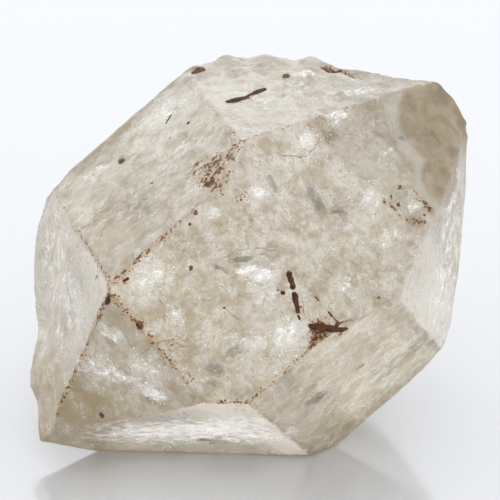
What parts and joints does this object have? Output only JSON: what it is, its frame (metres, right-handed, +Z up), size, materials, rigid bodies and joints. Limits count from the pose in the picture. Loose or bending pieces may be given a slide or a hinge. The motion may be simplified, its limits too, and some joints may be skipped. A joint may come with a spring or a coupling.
{
  "type": "herkimer diamond",
  "caption": "Cloudy, rust-stained quartz crystal with flat faces and a point at both ends, lying on one face of its lower end.",
  "frame": {"origin": "middle of the base of the crystal's bounding box, on the plane of the face it rests on", "axes": "+Z up; +X to the right and +Y away, seen from the picture's side; the crystal's long axis rises 38 degrees and heads 19 degrees from +X towards +Y"},
  "size_m": [0.0254, 0.0236, 0.0205],
  "materials": {
    "quartz": "glossy worn faces over a cloudy, smoky and rust-stained inside"
  },
  "bodies": {
    "root": {"crystal": "quartz"}
  },
  "joints": []
}
